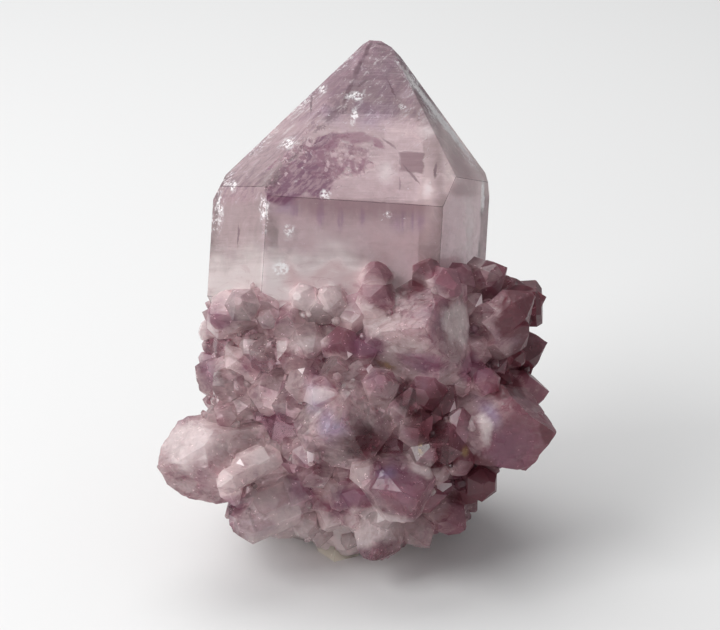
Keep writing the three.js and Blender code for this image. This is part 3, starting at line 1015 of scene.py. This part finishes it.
    # White chips and specks along the ridges, with the painted highlight line.
    colour = g.mix(chipsAndHighlight, colour, tones["bruise"])
    milk = (0.40 + milkZone * 0.36 + veil * 0.18 + light * 0.25 + (fine - 0.5) * 0.25 + below * 0.4
            + deep * 0.5 + shade * 0.25 + pink * 0.15 + glow * 0.45 + low * 0.25 + paintedLightRightFace * 0.3)
    milk = milk + z.step(41, 44) * 0.22 + leftFace * 0.1
    milk = milk.most(chipsAndHighlight).most(lines).most(quad * 0.8).most(busy * 0.85).most(band * 0.85).least(0.93)
    if edge:
        worn = g.noise(place, 0.6, 4, 0.65).step(0.45, 0.62)
        rim = x.step(3.5, 5.5) * z.step(37.6, 38.6) * (y + 2).step(-1.5, 0.5)
        colour = g.mix((worn * 0.5).most(rim * 0.9), colour, tones["worn"])
        milk = (milk * 0.7 + worn * 0.3 + rim * 0.4).least(0.93)
    strength, height = marks["grooves"]
    bump = g.node("ShaderNodeBump", {}, {"Strength": strength, "Distance": height, "Height": streaks})
    polish = (fine.step(0.3, 0.9) * 0.22 + 0.05 + busy * 0.15).least(0.5)
    clear = g.mix(cloud.step(0.4, 0.7) * 0.6, tones["clearPale"], tones["clearDeep"])
    surface = quartzShader(
        g, clear, colour, milk, polish, fine * 0.3 + 0.2, bump, quartzLook["soakPoint"])
    return g.finish(surface, absorption(g))


druseLook = {
    "stub": (-0.6, 0.6, 4.2, 2.6),
    "stains": ((6.9, 12.1, 0.5, 0.9), (11.2, 11.8, 0.6, 0.8), (3.6, 20.2, 1.4, 0.5, 20)),
    "pits": (0.12, 0.00008),
}


druseTones = {
    "pale": (0.79, 0.62, 0.62),
    "deep": (0.27, 0.095, 0.132),
    "mauve": (0.50, 0.38, 0.475),
    "purple": (0.30, 0.13, 0.24),
    "blue": (0.40, 0.34, 0.58),
    "wine": (0.125, 0.027, 0.04),
    "light": (0.80, 0.70, 0.695),
    "clearPale": (0.95, 0.85, 0.86),
    "clearDeep": (0.70, 0.43, 0.505),
    "clearWine": (0.28, 0.08, 0.105),
    "merge": (0.60, 0.45, 0.46),
    "stain": (0.36, 0.24, 0.10),
    "glint": (0.95, 0.90, 0.91),
    "edge": (0.9, 0.86, 0.88),
    "crust": (0.50, 0.44, 0.41),
    "stub": (0.68, 0.60, 0.50),
    "footDark": (0.50, 0.36, 0.39),
    "footPale": (0.84, 0.77, 0.775),
}


def druseColour(g, place, depth, cloud):
    tones = druseTones
    painted = g.attribute("clouds", "Color")
    parts = g.node("ShaderNodeSeparateColor", {}, {0: painted})
    blotch = (g.noise(place, 0.75, 3, 0.65) - 0.5) * 0.8
    wine = (parts + blotch).step(0.15, 0.85)
    purple = (parts.out("Green") + blotch).step(0.1, 0.9)
    pale = (parts.out("Blue") - blotch).step(0.1, 0.9)
    blue = painted.out("Alpha")
    x, _, _ = g.split(place)
    # Painted shade: from x 5 to 15 mm the druse turns darker and more wine coloured, less where it is pale.
    shade = x.step(5, 15) * (1 - pale * 0.7)
    depth = (depth * (1 - pale * 0.8) + purple * 0.6 + shade * 0.45).least(0.97)
    wine = (wine + shade * 0.4).least(1)
    flame = g.noise(g.stretch(place, (0.7, 0.7, 1.3)), 0.8, 4, 0.7, Distortion=1.0)
    depth = (depth + flame.step(0.5, 0.62) * 0.35 - flame.step(0.46, 0.36) * 0.15).least(1).most(0)
    colour = g.mix(depth, tones["pale"], tones["deep"])
    colour = g.mix(cloud.step(0.5, 0.8) * 0.35, colour, tones["mauve"])
    colour = g.mix(purple * 0.4, colour, tones["purple"])
    # Painted sheen: blue iridescence.
    colour = g.mix(blue * 0.6, colour, tones["blue"])
    colour = g.mix(wine * 0.95, colour, tones["wine"])
    return g.mix(pale * 0.6, colour, tones["light"]), wine, pale, depth, shade


def druseMaterial(name, edge=False, haze=0.0, crust=False):
    g = Graph(name)
    tones = druseTones
    place = g.upright()
    x, _, z = g.split(place)
    tone = g.attribute("tone")
    rise = g.attribute("rise")
    milk = g.attribute("haze")
    glint = g.attribute("glint")
    cloud = g.noise(place, 0.3, 2, 0.55)
    fine = g.noise(place, 1.6, 3, 0.6)
    depth = (tone * (rise.step(0.2, 0.95) * 1.1 + 0.1) + (cloud - 0.5) * 1.1).step(0.0, 1.0)
    colour, wine, pale, depth, shade = druseColour(g, place, depth, cloud)
    clear = g.mix(depth, tones["clearPale"], tones["clearDeep"])
    clear = g.mix(wine, clear, tones["clearWine"])
    # The painted shade on the right side also makes the druse milkier there.
    share = (milk * 0.75 + haze + (fine - 0.5) * 0.35 + pale * 0.15 + shade * 0.3).most(0.12)
    # Glint faces, which carry a painted highlight, are milkier.
    share = (share + glint * 0.45).least(0.88)
    merge = z.step(23.5, 28) * (1 - x.step(-2, 5))
    colour = g.mix(merge * 0.45, colour, tones["merge"])
    share = (share + merge * 0.25).least(0.88)
    stain = g.ovals(place, druseLook["stains"], 0.2) * fine.step(0.35, 0.5)
    colour = g.mix(stain * 0.85, colour, tones["stain"])
    share = share.most(stain * 0.7)
    # Painted highlight: glint faces turn near white.
    colour = g.mix(glint * (0.9 - fine * 0.5), colour, tones["glint"])
    # Bevelled ridges turn paler and milkier: worn edges with a painted highlight along them.
    if edge:
        colour = g.mix(0.5, colour, tones["edge"])
        share = (share + 0.2).least(0.9)
    if crust:
        stub = g.oval(place, *druseLook["stub"], heart=0.6)
        colour = g.mix(0.3, colour, tones["crust"])
        colour = g.mix(stub, colour, tones["stub"])
        share = share.most(stub * 0.85)
    pits = g.noise(place, 1.7, 1, 0.5)
    strength, height = druseLook["pits"]
    bump = g.node("ShaderNodeBump", {}, {"Strength": strength, "Distance": height, "Height": pits})
    etched = fine.step(0.35, 0.75) * 0.22 + 0.08
    surface = quartzShader(
        g, clear, colour, share, etched, fine * 0.3 + 0.3, bump, quartzLook["soakDruse"])
    return g.finish(surface, absorption(g))


def coreMaterial():
    g = Graph("core")
    tones = druseTones
    place = g.upright()
    _, _, z = g.split(place)
    cells = g.node("ShaderNodeTexVoronoi", {"feature": "SMOOTH_F1"}, {
        "Vector": place, "Scale": 0.33, "Smoothness": 0.6, "Randomness": 1}, output="Color")
    tone = g.node("ShaderNodeSeparateColor", {}, {0: cells})
    cloud = g.noise(place, 0.3, 4, 0.6)
    depth = (tone * 0.9 + (cloud - 0.5) * 1.4 - 0.1).step(0.1, 1.0)
    colour = druseColour(g, place, depth, cloud)[0]
    swirl = g.noise(g.stretch(place, (0.5, 0.5, 1.2)), 0.5, 4, 0.65, Distortion=1.5)
    foot = (z + (cloud - 0.5) * 5).step(25.5, 29)
    colour = g.mix(foot, colour, g.mix(swirl.step(0.4, 0.6), tones["footDark"], tones["footPale"]))
    surface = g.node("ShaderNodeBsdfPrincipled", {}, {
        "Base Color": colour, "Roughness": 0.6, "Subsurface Weight": 0.6,
        "Subsurface Radius": quartzLook["soakColours"], "Subsurface Scale": quartzLook["soakCore"]})
    return g.finish(surface)


studio = {
    "tableHalf": 3,
    "tableColour": (0.76, 0.758, 0.755),
    "skyColour": (0.97, 0.985, 1.0),
    "skyStrength": 0.42,
    "lamps": {
        "key": ((-0.27, -0.17, 0.25), 0.26, 1.08),
        "back": ((-0.10, 0.15, 0.35), 0.34, 0.90),
    },
    "lampsAim": (0, 0, 0.02),
    "distance": 300,
    "lens": 150,
    "aim": (1.0, -5, 25.1),
}


def table():
    bm = bmesh.new()
    bmesh.ops.create_grid(bm, x_segments=1, y_segments=1, size=studio["tableHalf"])
    mesh = bpy.data.meshes.new("table")
    bm.to_mesh(mesh)
    bm.free()
    g = Graph("table")
    mesh.materials.append(g.finish(g.node("ShaderNodeBsdfPrincipled", {}, {
        "Base Color": (*studio["tableColour"], 1), "Roughness": 0.9, "Specular IOR Level": 0.1})))
    made = newObject("table", mesh)


def lights():
    world = bpy.data.worlds.new("studio")
    bpy.context.scene.world = world
    world.use_nodes = True
    sky = world.node_tree.nodes["Background"]
    sky.inputs["Color"].default_value = (*studio["skyColour"], 1)
    sky.inputs["Strength"].default_value = studio["skyStrength"]
    for name, (place, size, power) in studio["lamps"].items():
        lamp = bpy.data.lights.new(name, "AREA")
        lamp.shape = "SQUARE"
        lamp.size = size
        lamp.energy = power
        made = newObject(name, lamp)
        made.location = place
        made.rotation_euler = (Vector(studio["lampsAim"]) - made.location).to_track_quat("-Z", "Y").to_euler()


def camera():
    cam = bpy.data.cameras.new("camera")
    cam.lens = studio["lens"]
    cam.sensor_width = 36
    cam.clip_start = 0.01
    cam.clip_end = 20
    made = newObject("camera", cam)
    x, y, z = studio["aim"]
    made.location = fromUpright(x, y - studio["distance"], z)
    made.rotation_euler = (math.pi / 2 - lean, 0, 0)
    bpy.context.scene.camera = made


scene = bpy.context.scene
scene.view_settings.view_transform = "Standard"
scene.cycles.use_denoising = True
scene.cycles.max_bounces = 10
scene.cycles.sample_clamp_direct = 2.5
scene.cycles.sample_clamp_indirect = 1.2
scene.cycles.transmission_bounces = 9
scene.cycles.glossy_bounces = 4
scene.cycles.transparent_max_bounces = 8

looks = {
    "point": pointMaterial("point"),
    "pointEdge": pointMaterial("pointEdge", edge=True),
    "crust": druseMaterial("crust", haze=0.3, crust=True),
    "druse": druseMaterial("druse"),
    "druseEdge": druseMaterial("druseEdge", edge=True),
    "drusy": druseMaterial("drusy", haze=0.1),
    "core": coreMaterial(),
}
print("materials", len(looks))
valleys, hulls = crystalBody(looks)
cloudCore(hulls, looks)
drusyPoints(valleys, looks)
table()
lights()
camera()
print("table, lamps and camera placed")
